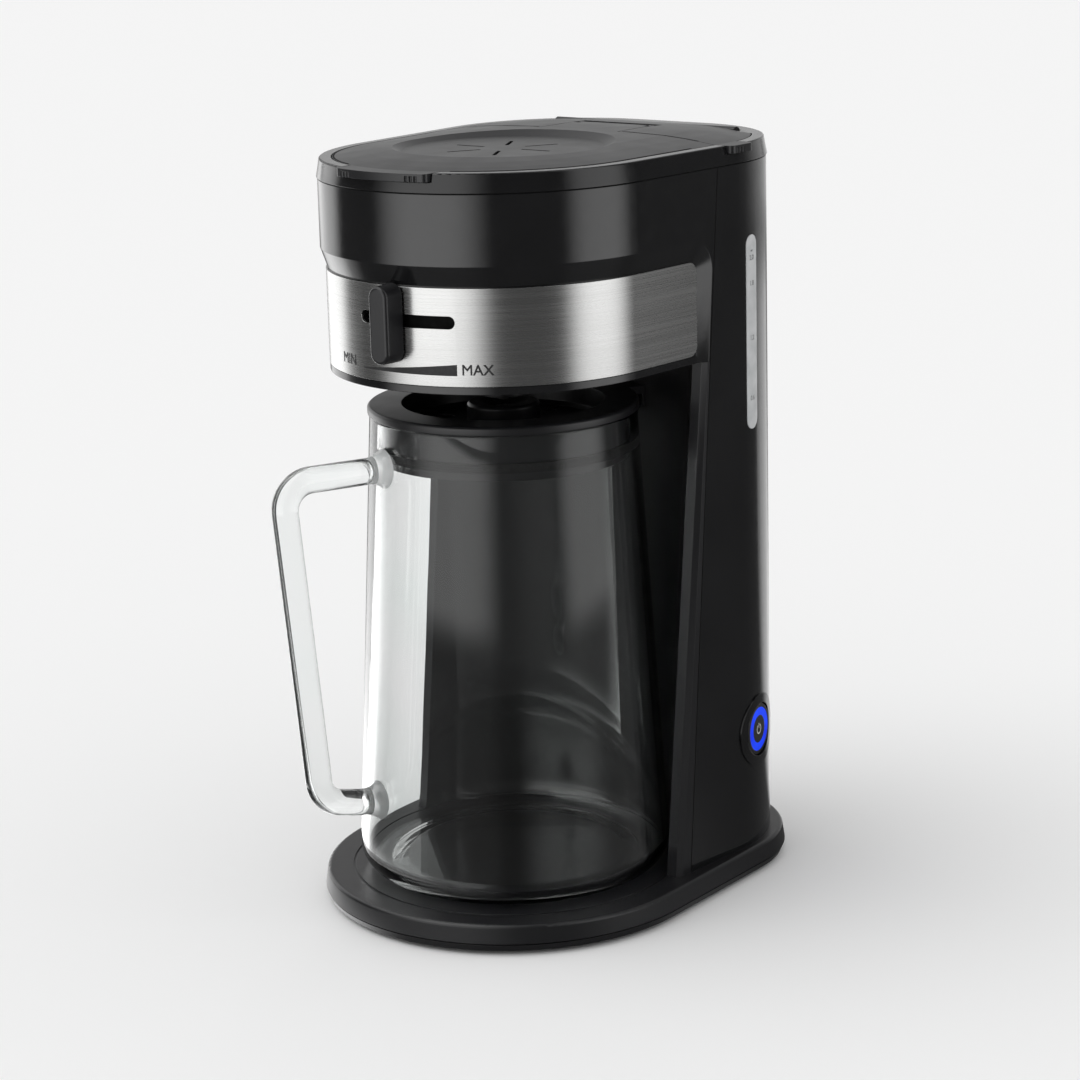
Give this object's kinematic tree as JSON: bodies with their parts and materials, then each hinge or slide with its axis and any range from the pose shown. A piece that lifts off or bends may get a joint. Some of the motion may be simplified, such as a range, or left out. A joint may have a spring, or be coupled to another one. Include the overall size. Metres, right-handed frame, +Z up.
{
  "type": "cold brew coffee maker",
  "caption": "Cold brew and iced drink maker with a crowned two-part lid, steel band with strength slider, rear water column, lit power button and a tapered glass jug with spouted lid.",
  "frame": {"origin": "on the standing surface, under the middle of the overall box", "axes": "+Z up; the front with the strength knob and the jug faces -Y; the water gauge and the power button face +X"},
  "size_m": [0.1792, 0.246, 0.3484],
  "materials": {
    "gloss_plastic": "polished black",
    "satin_plastic": "satin black",
    "brushed_band": "brushed along its length",
    "steel_hardware": "plain",
    "filter_mesh": "fine mesh",
    "glass": "clear",
    "rubber": "matt",
    "silicone": "translucent white",
    "white_plastic": "plain",
    "blue_light": "lit translucent",
    "frosted_window": "frosted, with a printed scale",
    "cast_aluminium": "cast"
  },
  "bodies": {
    "machine": {"base_shell": "satin_plastic", "base_plate": "satin_plastic", "base_screws": "steel_hardware", "rubber_feet": "rubber", "front_housing": "gloss_plastic", "column_panel": "gloss_plastic", "rear_housing": "gloss_plastic", "top_bezel": "satin_plastic", "steel_band": "brushed_band", "brew_basket": "satin_plastic", "filter_cup": "filter_mesh", "valve_retainer": "satin_plastic", "valve_spring": "steel_hardware", "gauge_window": "frosted_window", "power_bezel": "satin_plastic", "power_switch": "satin_plastic", "water_tank": "glass", "heater": "cast_aluminium", "heater_bracket": "steel_hardware", "thermostat": "satin_plastic", "check_valve": "white_plastic", "feed_hose": "silicone", "riser_hose": "silicone", "cord_gland": "rubber", "gland_nut": "satin_plastic"},
    "brew_lid_body": {"brew_lid": "satin_plastic", "brew_hinge_pin": "steel_hardware", "lid_spreader": "satin_plastic"},
    "tank_lid_body": {"tank_lid": "satin_plastic", "tank_hinge_pins": "steel_hardware"},
    "selector": {"selector_slider": "satin_plastic", "strength_knob": "satin_plastic"},
    "power_button_body": {"power_button": "satin_plastic", "light_ring": "blue_light"},
    "jug": {"jug_glass": "glass", "jug_handle": "glass", "jug_lid": "satin_plastic", "jug_lid_valve": "satin_plastic", "jug_lid_seal": "rubber"},
    "drip_valve_body": {"drip_valve": "rubber"}
  },
  "joints": [
    {"name": "brew_lid_hinge", "type": "hinge", "parent": "machine", "child": "brew_lid_body", "pos_m": [0, 0.07548, 0.3436], "axis": [-1, 0, 0], "range_deg": [0, 88]},
    {"name": "tank_lid_hinge", "type": "hinge", "parent": "machine", "child": "tank_lid_body", "pos_m": [0, 0.09748, 0.3436], "axis": [-1, 0, 0], "range_deg": [0, 90]},
    {"name": "strength_selector", "type": "hinge", "parent": "machine", "child": "selector", "pos_m": [0, -0.01452, 0.2805], "axis": [0, 0, 1], "range_deg": [-11, 18]},
    {"name": "power_press", "type": "slide", "parent": "machine", "child": "power_button_body", "axis": [-0.9816, -0.1908, 0], "range_m": [0, 0.0016], "stiffness_N_per_m": 900, "springref_m": -0.001},
    {"name": "jug_slide", "type": "slide", "parent": "machine", "child": "jug", "axis": [0, -1, 0], "range_m": [0, 0.25]},
    {"name": "drip_valve_lift", "type": "slide", "parent": "machine", "child": "drip_valve_body", "axis": [0, 0, 1], "range_m": [0, 0.003], "stiffness_N_per_m": 150, "springref_m": -0.004, "deforming": ["valve_spring"]}
  ]
}
